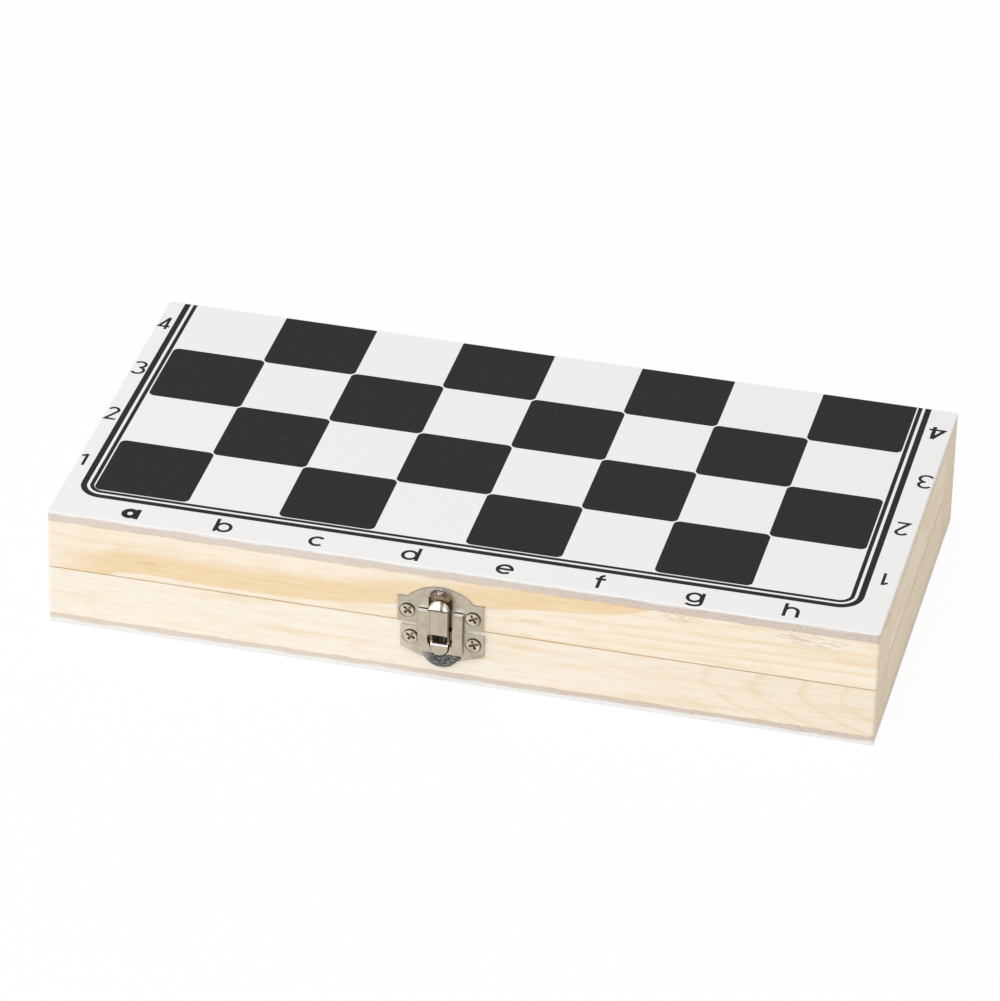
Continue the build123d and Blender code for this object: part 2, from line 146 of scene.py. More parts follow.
@dataclass(frozen=True)
class Value:
    """A number, a vector or a colour that one output of a node gives. Values can be reckoned with."""

    node: Node
    key: int | str = 0

    @property
    def tree(self) -> Tree:
        """The tree that the value is in."""
        return self.node.id_data

    def output(self, key: int | str) -> "Value":
        """What another output of the same node gives."""
        return Value(self.node, key)

    def __add__(self, other: Any) -> "Value":
        """Their sum."""
        return add(self.tree, "Math", {0: self, 1: other}, operation="ADD")

    def __sub__(self, other: Any) -> "Value":
        """Their difference."""
        return add(self.tree, "Math", {0: self, 1: other}, operation="SUBTRACT")

    def __mul__(self, other: Any) -> "Value":
        """Their product."""
        return add(self.tree, "Math", {0: self, 1: other}, operation="MULTIPLY")

    def __truediv__(self, other: Any) -> "Value":
        """Their quotient."""
        return add(self.tree, "Math", {0: self, 1: other}, operation="DIVIDE")

    def __abs__(self) -> "Value":
        """The value without its sign."""
        return add(self.tree, "Math", {0: self}, operation="ABSOLUTE")

    def most(self, other: Any) -> "Value":
        """The larger of the two."""
        return add(self.tree, "Math", {0: self, 1: other}, operation="MAXIMUM")

    def least(self, other: Any) -> "Value":
        """The smaller of the two."""
        return add(self.tree, "Math", {0: self, 1: other}, operation="MINIMUM")

    def away(self, other: "Value") -> "Value":
        """The length of a step of this much one way and the other's much across it."""
        step = add(self.tree, "CombineXYZ", {0: self, 1: other})
        return add(self.tree, "VectorMath", {0: step}, operation="LENGTH").output("Value")

    def between(self, low: float, high: float) -> "Value":
        """Turns the value into a share that eases from 0 at low to 1 at high.

        Args:
            low: Where the share is 0. It may be above high.
            high: Where the share is 1.

        Returns:
            The share.
        """
        limits = {0: self, 1: min(low, high), 2: max(low, high), 3: float(low > high), 4: float(low < high)}
        return add(self.tree, "MapRange", limits, interpolation_type="SMOOTHSTEP")

    def within(self, low: float, high: float, edge: float) -> "Value":
        """A share of 1 from low to high and 0 outside, eased over an edge on the inner side of both."""
        return self.between(low, low + edge) * self.between(high, high - edge)


@dataclass(frozen=True)
class Layer:
    """A tone over what lies below it: how much of it there is, and how it goes on."""

    share: Value
    tone: Value | str
    mix: Mix = Mix.COVER


def layered(ground: Value | str, *layers: Layer) -> Value:
    """Lays tones over a ground, one after another.

    Args:
        ground: The lowest colour, as a hex code or a value.
        layers: What goes over it, the lowest first.

    Returns:
        The colour that shows.
    """
    for layer in layers:
        tones = {0: layer.share, 6: ground, 7: layer.tone}
        ground = add(layer.share.tree, "Mix", tones, data_type="RGBA", blend_type=layer.mix.value).output(2)
    return ground


def cleared(owner: bpy.types.Material | bpy.types.World) -> Tree:
    """Turns on an owner's node tree and empties it.

    Args:
        owner: The material or the world.

    Returns:
        Its empty tree.
    """
    owner.use_nodes = True
    owner.node_tree.nodes.clear()
    return owner.node_tree


@dataclass(frozen=True)
class Surface:
    """The point of a piece that is being painted: its place on the piece in millimetres, whole and in parts."""

    tree: Tree
    place: Value
    along: Value
    deep: Value
    high: Value

    @classmethod
    def of(cls, tree: Tree, axes: Axes = Grain.ALONG_BOX.value) -> "Surface":
        """Reads the painted point's place.

        Args:
            tree: The tree that gets the nodes.
            axes: The object axes that run along the piece, into it and up it.

        Returns:
            The point.
        """
        spot = add(tree, "TexCoord").output("Object")
        split = add(tree, "SeparateXYZ", {0: add(tree, "VectorMath", {0: spot, "Scale": 1 / MM}, operation="SCALE")})
        parts = [split.output(axis) for axis in axes]
        return cls(tree, add(tree, "CombineXYZ", dict(enumerate(parts))), *parts)

    def facing(self, axis: str) -> Value:
        """How squarely the surface faces along one of its piece's axes, from -1 to 1."""
        return add(self.tree, "SeparateXYZ", {0: add(self.tree, "TexCoord").output("Normal")}).output(axis)

    def noise(self, size: Point3, detail: float = 2.0, offset: float = 0.0) -> Value:
        """A smooth random value, about 0.5 on average, whose patches have a real size.

        Args:
            size: A patch's size along each axis, in millimetres.
            detail: How many finer layers it has.
            offset: Moves the pattern, so that pieces differ.

        Returns:
            The value.
        """
        scale = [1 / patch for patch in size]
        moved = add(self.tree, "Mapping", {0: self.place, 1: (offset, offset / 2, -offset), 3: scale})
        return add(self.tree, "TexNoise", {"Vector": moved, "Scale": 1.0, "Detail": detail})

    def crevice(self, reach: float) -> Value:
        """How deep the point lies in a crevice, from 0 in the open to 1.

        Args:
            reach: How far away a surface still closes it in, in millimetres.

        Returns:
            The share.
        """
        light = add(self.tree, "AmbientOcclusion", {"Distance": reach * MM}, samples=8)
        return light.output("AO").between(0.75, 0.15)

    def inside(self, low: Point3, high: Point3, edge: float) -> Value:
        """A share of 1 inside a box of places and 0 outside it.

        Args:
            low: The box's low corner.
            high: The box's high corner.
            edge: The width over which the share eases.

        Returns:
            The share.
        """
        parts = (self.along, self.deep, self.high)
        return reduce(Value.__mul__, [part.within(a, b, edge) for part, a, b in zip(parts, low, high)])


@dataclass(frozen=True)
class Stain:
    """A random pattern in one tone: its patches, where it begins and is full, and its strength there."""

    size: Point3
    low: float
    high: float
    strength: float
    tone: str
    mix: Mix = Mix.COVER
    detail: float = 3.0
    offset: float = 0.0

    def pattern(self, surface: Surface, seed: float = 0.0) -> Value:
        """The bare random value."""
        return surface.noise(self.size, self.detail, self.offset + seed)

    def layer(self, surface: Surface, seed: float = 0.0) -> Layer:
        """The stain as a layer."""
        return Layer(self.pattern(surface, seed).between(self.low, self.high) * self.strength, self.tone, self.mix)


# Finishes


@dataclass(frozen=True)
class Finish:
    """What every finish shares: a name, and one Principled shader whose colour is worked out by the finish.

    The relief has a real depth in millimetres and a strength.
    """

    name: str = "finish"
    relief: float = 0.03
    relief_strength: float = 0.5

    def axes(self) -> Axes:
        """The object axes that run along the piece, into it and up it."""
        return Grain.ALONG_BOX.value

    def shader(self) -> dict[str, Any]:
        """The constants of the Principled shader, by socket name."""
        return {}

    def paint(self, surface: Surface) -> dict[str, Any]:
        """The parts of the shader that vary over the surface, by socket name, with a height for Normal."""
        return {}

    def build(self) -> bpy.types.Material:
        """Builds the material.

        Returns:
            The material, ready to be put on a piece.
        """
        material = bpy.data.materials.new(self.name)
        tree = cleared(material)
        inputs = {**self.shader(), **self.paint(Surface.of(tree, self.axes()))}
        if "Normal" in inputs:
            shape = {"Height": inputs["Normal"], "Distance": self.relief * MM, "Strength": self.relief_strength}
            inputs["Normal"] = add(tree, "Bump", shape)
        add(tree, "OutputMaterial", {"Surface": add(tree, "BsdfPrincipled", inputs)})
        return material


@dataclass(frozen=True)
class Rings:
    """Growth rings: where the pith lies behind the strip's near face, in millimetres.

    The pith line is given at the middle of the strip's length, with its slopes along it.
    """

    depth: float
    height: float
    depth_slope: float = 0.0
    height_slope: float = 0.0
    depth_curve: float = 0.0
    spacing: float = 2.6
    face: float = 0.0
    wave: float = 0.9
    start: float = -200.0
    fade: float = 40.0
    rise: float = 0.35


@dataclass(frozen=True)
class Pine(Finish):
    """Bare pine, planed and sanded: a cream ground, soft yellow late wood and fine fibres along the strip.

    The eye sees broad soft rings where the face is cut along them, narrow lines where it crosses them, and a
    greyer, duller tone on the end grain, which soaks up light.
    """

    relief: float = 0.04
    grain: Grain = Grain.ALONG_BOX
    rings: Rings = Rings(depth=30, height=10)
    seed: float = 0.0
    ground: str = "#FCF0DE"
    late: str = "#F5DFB6"
    strength: float = 0.5
    tan: float = 0.0
    tan_right: float = 0.0
    tan_reach: float = LENGTH * 0.375
    tan_tone: str = "#E9D6B4"
    glue_height: float = LOWER_GLUE
    glue_tone: str = "#D6B184"
    streak: float = 0.35
    # Tone and reach of the painted shade along the seam between both halves
    seam: str = "#E9C07C"
    seam_shade_reach: float = 0.3
    latch_dark: str = "#54432F"
    mottle: Stain = Stain((7, 1.1, 1.1), 0.42, 0.68, 0.22, "#F0DDBE", Mix.TINT, offset=5)
    fibres: Stain = Stain((14, 0.28, 0.28), 0.52, 0.75, 0.16, "#D9B98A", Mix.TINT, offset=7)
    dashes: Stain = Stain((2.4, 0.22, 0.22), 0.76, 0.83, 0.35, "#B98A55", detail=1.0, offset=11)
    pore_tones: tuple[str, str] = ("#D6C4A6", "#EFE4D0")
    end_share: float = 0.35
    end_facing: Point = (0.6, 0.95)
    upright_facing: Point = (0.9, 0.6)

    def axes(self) -> Axes:
        """The strip's grain leads."""
        return self.grain.value

    def shader(self) -> dict[str, Any]:
        """Sanded open wood is dull."""
        return {"Roughness": 0.62, "IOR": 1.5, "Specular IOR Level": 0.3}

    def ring_line(self, surface: Surface) -> Value:
        """Late wood lines, soft on their inner side and sharp on their outer side.

        Args:
            surface: The painted point.

        Returns:
            A share from 0, early wood, to 1, late wood.
        """
        tree, rings, along = surface.tree, self.rings, surface.along
        pith = along * (along * rings.depth_curve + rings.depth_slope) + (rings.depth + rings.face)
        level = along * rings.height_slope + rings.height
        wave = surface.noise((45, 9, 9), 1.0, self.seed) * (rings.wave * rings.spacing)
        turn = (wave + (surface.deep - pith).away(surface.high - level)) / rings.spacing
        part = add(tree, "Math", {0: turn}, operation="FRACT")
        line = part.between(rings.rise, 0.92) * part.between(1.0, 0.93)
        number = add(tree, "Math", {0: turn}, operation="FLOOR")
        drawn = add(tree, "TexWhiteNoise", {"W": number}, noise_dimensions="1D")
        return line * along.between(rings.start, rings.start + rings.fade) * (drawn * 0.6 + 0.4)

    def figure(self, surface: Surface) -> Value:
        """The strip's own colour before fibres and end grain."""
        return layered(self.ground, Layer(self.ring_line(surface) * self.strength, self.late))

    def paint(self, surface: Surface) -> dict[str, Any]:
        """Paints the figure, its fibres, the end grain and the glue line, with painted shade along the seam and
        behind the latch.

        Args:
            surface: The painted point.

        Returns:
            The colour and the relief.
        """
        streaks = Stain((45, 2.6, 2.6), 0.5, 0.7, self.streak, self.late, offset=3)
        pores = surface.noise((0.5, 0.35, 0.35), 2.0, self.seed + 17)
        tan = surface.along.between(0, self.tan_reach) * self.tan_right + self.tan
        end = abs(surface.facing(self.axes()[0])).between(*self.end_facing) * self.end_share
        closed, open_wood = self.pore_tones
        colour = layered(
            self.figure(surface),
            *[stain.layer(surface, self.seed) for stain in (streaks, self.mottle, self.fibres, self.dashes)],
            Layer(tan, self.tan_tone, Mix.TINT),
            Layer(end, layered(closed, Layer(pores, open_wood)), Mix.TINT),
            Layer(self.glue_line(surface), self.glue_tone, Mix.TINT),
            # Painted shade along the seam, and the painted shadow behind the latch
            Layer(self.seam_shade_line(surface), self.seam),
            Layer(self.latch_shadow(surface), self.latch_dark),
        )
        return {"Base Color": colour, "Normal": self.fibres.pattern(surface, self.seed) * 0.6 + pores * 0.2}

    def glue_line(self, surface: Surface) -> Value:
        """The thin brown line where the strip is glued to its panel, broken here and there."""
        near = abs(surface.high - self.glue_height).between(0.4, 0.05)
        return near * surface.noise((9, 2, 2), 2.0, self.seed + 23).between(0.35, 0.6) * 0.6

    def seam_shade_line(self, surface: Surface) -> Value:
        """Painted shade along the line where both halves meet, on upright faces only."""
        upright = abs(surface.facing("Z")).between(*self.upright_facing)
        return abs(surface.high - SEAM).between(self.seam_shade_reach, 0.12) * upright

    def latch_shadow(self, surface: Surface) -> Value:
        """The wood in the dark behind the latch's window and slot.

        Args:
            surface: The painted point.

        Returns:
            A share from 0 to 1.
        """
        wide, low, high = WINDOW
        corners = (LATCH_X - wide, FRONT - 1, low), (LATCH_X + wide, FRONT + 1, high)
        return Surface.of(surface.tree).inside(*corners, 0.4) * 0.95


@dataclass(frozen=True)
class Fleck:
    """A broken mark in the wood: its place, its half sizes and how strong it is, all along and up the strip."""

    along: float
    high: float
    half_length: float
    half_height: float
    tone: str
    strength: float

    def layer(self, surface: Surface) -> Layer:
        """The mark as a layer.

        Args:
            surface: The painted point.

        Returns:
            The layer.
        """
        run = (surface.along - self.along) / self.half_length
        rise = (surface.high - self.high) / self.half_height
        broken = surface.noise((3.0, 0.4, 0.4), 2.0, self.along).between(0.42, 0.62)
        return Layer((run * run + rise * rise).between(1.0, 0.2) * broken * self.strength, self.tone)


@dataclass(frozen=True)
class FlamedPine(Pine):
    """The upper front strip: a band of orange heartwood that rises along the strip, and three late wood lines."""

    heart: str = "#F7DDB4"
    heart_foot: Point = (-0.15, 0.35)
    heart_top: Point = (10.5, 5.0)
    heart_start: Point = (-124, -100)
    flecks: tuple[Fleck, ...] = (
        Fleck(-89, 24.3, 7, 1.0, "#C08F4E", 0.3), Fleck(64, 32.6, 8, 1.3, "#B09080", 0.4),
        Fleck(101, 31.6, 14, 2.6, "#B5A08A", 0.35), Fleck(20, 24.0, 8, 0.8, "#D2AA70", 0.4),
    )
    line_slope: float = 0.028
    line_share: float = 0.4
    line_start: Point = (15, 60)
    line_heights: tuple[Point, ...] = ((26.6, 0.9), (23.3, 0.9), (20.4, 0.8))

    def flow(self, surface: Surface) -> Value:
        """The height of the flowing grain line at this place along the strip.

        Args:
            surface: The painted point.

        Returns:
            The height in millimetres.
        """
        flow = add(surface.tree, "FloatCurve", {1: surface.along / LENGTH + 0.5})
        points = [(x / LENGTH + 0.5, z / HEIGHT) for x, z in FLOW]
        curve = flow.node.mapping.curves[0]
        for spot in points[1:-1]:
            curve.points.new(*spot)
        curve.points[0].location = points[0]
        curve.points[-1].location = points[-1]
        flow.node.mapping.update()
        return flow * HEIGHT

    def figure(self, surface: Surface) -> Value:
        """The strip's own colour, worked out from the height above its flowing grain line.

        Args:
            surface: The painted point.

        Returns:
            The colour.
        """
        along, high = surface.along, surface.high
        wave = surface.noise((30, 6, 3), 2.0, self.seed)
        above = high - self.flow(surface) + wave * 1.6 - 0.8 + (surface.deep - FRONT) * 0.35
        band = above.between(*self.heart_foot) * above.between(*self.heart_top) * along.between(*self.heart_start)
        grain = surface.noise((22, 0.7, 0.7), 3.0, self.seed + 2).between(0.2, 0.6)
        level = high - along * self.line_slope + wave * 1.2
        lines = reduce(Value.most, [
            level.between(middle + 1.6 * width, middle + 0.2) * level.between(middle - 0.3, middle)
            for middle, width in self.line_heights
        ])
        return layered(
            self.ground,
            Layer(band * (grain * 0.3 + 0.7), self.heart),
            *[fleck.layer(surface) for fleck in self.flecks],
            Layer(lines * along.between(*self.line_start) * self.line_share, self.late),
        )


@dataclass(frozen=True)
class PaintedBoard(Finish):
    """Thin fibreboard, sprayed white on its outer face: even and slightly dull, with a fine orange peel.

    The spray thins out over the sawn edges, where grey-beige fibres and brown specks show through, and the
    inner face is bare.
    """

    relief: float = 0.012
    up: float = 1.0
    spray: float = 0.3
    paint_tone: str = "#F4F3F2"
    edge_tone: str = "#E5D8CC"
    worn_tone: str = "#C8B6AB"
    end_tone: str = "#EAD8BE"
    speck_tone: str = "#A08A7A"
    bare_tone: str = "#C9A77C"
    rough_run: Point = (-40, 70)
    end_facing: Point = (0.6, 0.9)
    outer_facing: Point = (0.25, 0.9)
    inner_facing: Point = (-0.5, -0.9)
    fibres: Stain = Stain((1.2, 0.4, 0.4), 0.35, 0.7, 0.35, "#D9BE98", offset=9.0)

    def shader(self) -> dict[str, Any]:
        """A satin paint."""
        return {"Roughness": 0.5, "IOR": 1.5, "Specular IOR Level": 0.25}

    def edge(self, surface: Surface) -> Value:
        """The sawn edge: spray near the outer face, then fibres, rougher to the right, with brown specks.

        Args:
            surface: The painted point.

        Returns:
            The colour.
        """
        patches = surface.noise((9, 9, 1.2), 2.0, 5.0)
        outer = HEIGHT if self.up > 0 else 0.0
        sprayed = patches * -1.6 + (self.spray + 0.8)
        bare = (abs(surface.high - outer) - sprayed).between(-0.4, 0.4)
        rough = surface.along.between(*self.rough_run)
        ends = abs(surface.facing("X")).between(*self.end_facing)
        worn = rough * 0.5 + patches.between(0.42, 0.66) * 0.55
        specks = surface.noise((0.9, 0.9, 0.35), 3.0, 2.0).between(0.53, 0.66)
        return layered(
            self.paint_tone,
            Layer(bare, self.edge_tone),
            Layer(bare * (rough * 0.28 + 0.08), self.worn_tone),
            Layer(ends * bare * 0.8, self.end_tone),
            Layer((specks * worn).least(1.0) * (bare * 0.42 + 0.1), self.speck_tone),
        )

    def paint(self, surface: Surface) -> dict[str, Any]:
        """Tells the paint, the sprayed edges and the bare inner face apart by the way the surface faces.

        Args:
            surface: The painted point.

        Returns:
            The colour and the orange peel.
        """
        outward = surface.facing("Z") * self.up
        inner = layered(self.bare_tone, self.fibres.layer(surface))
        colour = layered(
            self.edge(surface),
            Layer(outward.between(*self.outer_facing), self.paint_tone),
            Layer(outward.between(*self.inner_facing), inner),
        )
        peel = surface.noise((1.1,) * 3, 1.0, 1.0) * outward.between(*reversed(self.inner_facing))
        return {"Base Color": colour, "Normal": peel}


@dataclass(frozen=True)
class ScreenInk(Finish):
    """Screen-printed charcoal ink: nearly flat and matt, a shade lighter where it went on thin."""

    relief: float = 0.004
    relief_strength: float = 0.4
    tone: str = "#2C2C2C"
    thin: Stain = Stain((3.0, 3.0, 3.0), 0.45, 0.8, 0.25, "#383838", offset=4.0)

    def shader(self) -> dict[str, Any]:
        """Ink without varnish hardly shines."""
        return {"Roughness": 0.75, "IOR": 1.5, "Specular IOR Level": 0.08}

    def paint(self, surface: Surface) -> dict[str, Any]:
        """Slightly uneven cover."""
        colour = layered(self.tone, self.thin.layer(surface))
        return {"Base Color": colour, "Normal": surface.noise((0.35,) * 3, 1.0, 6.0)}


@dataclass(frozen=True)
class Nickel(Finish):
    """Nickel plate on pressed steel: warm grey, satin where the sheet was rolled, with painted dark brown shade in
    its crevices.
    """

    relief_strength: float = 0.6
    tone: str = "#CABFAE"
    dull: str = "#BAAF9F"
    roughness: float = 0.36
    reach: float = 1.1
    # Tones of painted shade: dark in crevices and for the streak and fold on the lever's head, hollow in slots,
    # recesses and behind the lever
    dark: str = "#57463A"
    hollow: str = "#857058"
    lit_edge: str = "#E8EEF6"
    lit_facing: Point = (0.45, 0.8)
    under_facing: Point = (0.3, -0.3)

    def shader(self) -> dict[str, Any]:
        """A metal with the default index."""
        return {"Metallic": 1.0}

    def paint(self, surface: Surface) -> dict[str, Any]:
        """Paints a clouded tone, painted shade in crevices, stronger on faces that look down, and the piece's own
        painted light and shade, with relief from the press.

        Args:
            surface: The painted point.

        Returns:
            The colour, the roughness and the relief.
        """
        clouds = surface.noise((2.2, 2.2, 2.2), 3.0, 8.0)
        fine = surface.noise((0.25, 0.25, 0.25), 2.0, 3.0)
        # Painted shade: ambient occlusion darkens crevices, more on faces that look down
        low = surface.facing("Z").between(*self.under_facing) * 0.6 + 0.35
        colour = layered(
            self.tone,
            Layer(clouds.between(0.35, 0.75), self.dull),
            Layer(surface.crevice(self.reach) * low, self.dark),
            *self.painted_light_and_shade(surface),
        )
        return {"Base Color": colour, "Roughness": fine * 0.14 + (self.roughness - 0.07), "Normal": clouds}

    def upper_edges(self, surface: Surface) -> Layer:
        """The cut edges of the sheet that face up, which catch the light."""
        return Layer(surface.facing("Z").between(*self.lit_facing) * 0.9, self.lit_edge)

    def painted_light_and_shade(self, surface: Surface) -> list[Layer]:
        """The painted light and shade that a piece has over its plating. A plain piece has none."""
        return []


@dataclass(frozen=True)
class FootedNickel(Nickel):
    """The lower plate: its pressed round foot has a painted dark reflection, mottled with painted glints and with a
    painted lit left side; its ears are painted lighter on the left and darker low on the right, and its slot and the
    right side of its channel get painted shade.
    """

    # Painted dark reflection and painted glints on the foot, and painted light and shade on the ears
    foot_reflection: str = "#474847"
    glint: str = "#A3A29E"
    lit_ear: str = "#DCD0BF"
    shaded_ear: str = "#AA9C87"
    foot_top: float = 10.6
    foot_radius: float = 5.5
    foot_shift: float = 0.4
    foot_stretch: float = 1.08
    foot_lit: Point = (-1.5, -4.5)
    slot_half: float = 3.58
    slot_foot: Point = (12.5, 14.0)
    lit_run: Point = (-6.8, -9.5)
    shaded_run: Point = (7.5, 11.0)
    shaded_top: Point = (12.5, 9.5)
    cheek_rise: Point = (11.0, 17.0)
    cheek_facing: Point = (0.5, 0.9)

    def foot(self, surface: Surface, across: Value) -> Layer:
        """The foot's painted dark reflection, mottled with painted glints, with a painted lit left side.

        Args:
            surface: The painted point.
            across: How far it lies right of the latch's middle.

        Returns:
            The layer.
        """
        radius = ((across - self.foot_shift) / self.foot_stretch).away(surface.high - self.foot_top)
        share = radius.between(self.foot_radius + 0.05, self.foot_radius - 0.15)
        below = surface.high.between(self.foot_top + 0.08, self.foot_top - 0.08)
        specks = surface.noise((0.8, 0.8, 0.5), 3.0, 12.0).between(0.44, 0.62) * 0.6
        lit = across.between(*self.foot_lit) * 0.85
        return Layer(share * below, layered(self.foot_reflection, Layer(specks.most(lit), self.glint)))

    def painted_light_and_shade(self, surface: Surface) -> list[Layer]:
        """Painted light and shade: lit upper edges, a lighter left ear, a darker right ear, the foot's dark
        reflection, and shade in the slot and on the channel's right side.

        Args:
            surface: The painted point.

        Returns:
            The layers.
        """
        across, high = surface.along - LATCH_X, surface.high
        # Painted shade in the slot and on the right side of the channel
        slot = abs(across).between(self.slot_half + 0.1, self.slot_half) * high.between(*self.slot_foot)
        shaded = surface.facing("X").between(*self.cheek_facing) * high.between(*self.cheek_rise)
        return [
            self.upper_edges(surface),
            Layer(across.between(*self.lit_run) * 0.7, self.lit_ear),
            Layer(across.between(*self.shaded_run) * high.between(*self.shaded_top) * 0.8, self.shaded_ear),
            self.foot(surface, across),
            Layer(slot, self.hollow),
            Layer(shaded * 0.8, self.hollow),
        ]


@dataclass(frozen=True)
class HoodedNickel(Nickel):
    """The upper plate: its lanced hood gets a painted brown reflection of the lever's dark hollow, with painted
    glints.
    """

    # Tones of the hood's painted brown reflection, darker on its upward faces
    hood: str = "#7C6852"
    hood_crown_reflection: str = "#54412F"
    hood_top: float = 31.0
    hood_radius: float = 3.2
    plate_front: float = 0.85
    roll: float = 0.45
    # Tone of the painted shade along the arch's rolled edge
    rolled: str = "#2A221C"
    rolled_facing: Point = (0.04, 0.14)
    shoulder: float = 25.6
    crown_facing: Point = (0.25, 0.7)

    def rolled_edge_shade(self, surface: Surface) -> Layer:
        """Painted shade: the dark line along the arch, whose front corner the press rolled over.

        Args:
            surface: The painted point.

        Returns:
            The layer.
        """
        tree = surface.tree
        rounded = add(tree, "Bevel", {"Radius": self.roll * MM})
        ways = {"vector_type": "NORMAL", "convert_from": "WORLD", "convert_to": "OBJECT"}
        own = add(tree, "VectorTransform", {0: rounded}, **ways)
        up = add(tree, "SeparateXYZ", {0: own}).output("Z")
        line = up.between(*self.rolled_facing) * surface.facing("Z").between(0.3, 0.1)
        above_screws = surface.high.between(self.shoulder - 0.6, self.shoulder)
        return Layer(line * above_screws, self.rolled)

    def painted_light_and_shade(self, surface: Surface) -> list[Layer]:
        """The painted highlight and shade on the edges and the painted brown reflection on the hood.

        Args:
            surface: The painted point.

        Returns:
            The layers.
        """
        face = FRONT - self.plate_front
        away = abs(surface.along - LATCH_X)
        on_hood = surface.deep.between(face, face - 0.15) * away.between(self.hood_radius + 0.6, self.hood_radius)
        # Painted brown reflection on the hood, broken by painted glints
        glints = surface.noise((0.9, 0.9, 0.6), 2.0, 19.0).between(0.48, 0.6)
        brown = surface.high.between(self.hood_top + 0.5, self.hood_top) * (glints * -0.3 + 0.98)
        deeper = layered(self.hood, Layer(surface.facing("Z").between(*self.crown_facing), self.hood_crown_reflection))
        return [self.upper_edges(surface), self.rolled_edge_shade(surface), Layer(on_hood * brown, deeper)]


@dataclass(frozen=True)
class CrossedNickel(Nickel):
    """The latch's screws: heads with a painted crescent of shade on their upper right rim, and a worn cross whose
    floor is painted with shade.

    The heads' places are given right of the latch's middle and up the box. The painted crescent of shade is what a
    circle of the clear radius leaves of a head, when it leans down and to the left.
    """

    places: tuple[Point, ...] = ((-9.8, 22.5), (9.2, 22.5), (-8.85, 13.9), (9.45, 13.9))
    lean: Point = (0.22, 0.3)
    clear: float = 2.0
    soft: float = 0.08
    shade: str = "#30261E"
    floor: float = 0.5
    span: float = 0.15

    def painted_light_and_shade(self, surface: Surface) -> list[Layer]:
        """The painted shade of the crescents and of the cross's floor.

        Args:
            surface: The painted point.

        Returns:
            The layers.
        """
        left, down = self.lean
        away = reduce(Value.least, [
            (surface.along - (LATCH_X + x - left)).away(surface.high - (z - down)) for x, z in self.places
        ])
        # Painted shade: a crescent on each head's upper right rim and the floor of each cross
        crescent = away.between(self.clear - self.soft, self.clear + self.soft) * 0.9
        sunk = surface.deep.between(FRONT - self.floor, FRONT - self.floor + self.span) * 0.8
        return [Layer(crescent, self.shade), Layer(sunk, self.hollow)]


@dataclass(frozen=True)
class HighlitNickel(Nickel):
    """The lever: a painted highlight on its domed head and upward faces, satin on its face, painted shade on its
    sides and on the cheeks behind it.
    """

    # Tones of the painted highlights on the head and the rolled tail edge, and of the painted shade on the sides
    bright: str = "#F3F0EA"
    white: str = "#FFFFFF"
    cheek_shade: str = "#C4B299"
    head_low: float = 26.55
    head_facing: Point = (0.55, 0.25)
    side_facing: Point = (0.55, 0.9)
    crown_facing: Point = (0.35, 0.7)
    streak: Point = (0.6, 1.8)
    slot_foot: Point = (14.1, 14.3)
    roll_low: float = 13.4
    roll_high: float = 14.25

    def head_reflection_and_shade(self, surface: Surface) -> Layer:
        """The painted dark reflection streak on the domed head, and the painted shade of the fold below the head.

        Args:
            surface: The painted point.

        Returns:
            The layer.
        """
        high, low = surface.high, self.head_low
        across = surface.along - LATCH_X + (high - low) * 0.15
        streak = across.within(*self.streak, 0.3) * high.between(low, low + 0.1)
        fold = high.within(low - 0.3, low + 0.2, 0.15) * surface.deep.between(FRONT - 5.0, FRONT - 5.2)
        return Layer((streak * 0.8).most(fold), self.dark)

    def painted_light_and_shade(self, surface: Surface) -> list[Layer]:
        """Painted shade on the sides, painted highlights on the head, the upward faces and the rolled tail edge, and
        painted shade on the cheeks behind the face.

        Args:
            surface: The painted point.

        Returns:
            The layers.
        """
        deep, high, sideways = surface.deep, surface.high, surface.facing("X")
        # Painted highlights on the head, the upward faces and the rolled tail edge; painted shade on the sides and
        # behind the face
        head = high.between(self.head_low - 0.05, self.head_low + 0.1) * sideways.between(*self.head_facing)
        behind = deep.between(FRONT - 3.1, FRONT - 2.95) * high.between(*self.slot_foot)
        roll = high.within(self.roll_low, self.roll_high, 0.15) * deep.between(FRONT - 1.3, FRONT - 1.6)
        return [
            Layer(abs(sideways).between(*self.side_facing), self.cheek_shade),
            Layer(head, self.bright),
            Layer(surface.facing("Z").between(*self.crown_facing), self.bright),
            self.head_reflection_and_shade(surface),
            Layer(behind, self.hollow),
            Layer(roll, self.white),
        ]


@dataclass(frozen=True)
class DrawnSteel(Finish):
    """Drawn steel wire: grey, with fine marks along it from the die."""

    tone: str = "#A9A6A2"
    mark_tone: str = "#8A8683"

    def shader(self) -> dict[str, Any]:
        """A metal with the default index."""
        return {"Metallic": 1.0}

    def paint(self, surface: Surface) -> dict[str, Any]:
        """Fine uneven marks."""
        marks = surface.noise((3.0, 0.15, 0.15), 2.0, 5.0)
        return {"Base Color": layered(self.tone, Layer(marks, self.mark_tone)), "Roughness": marks * 0.2 + 0.25}


# Printed coordinates


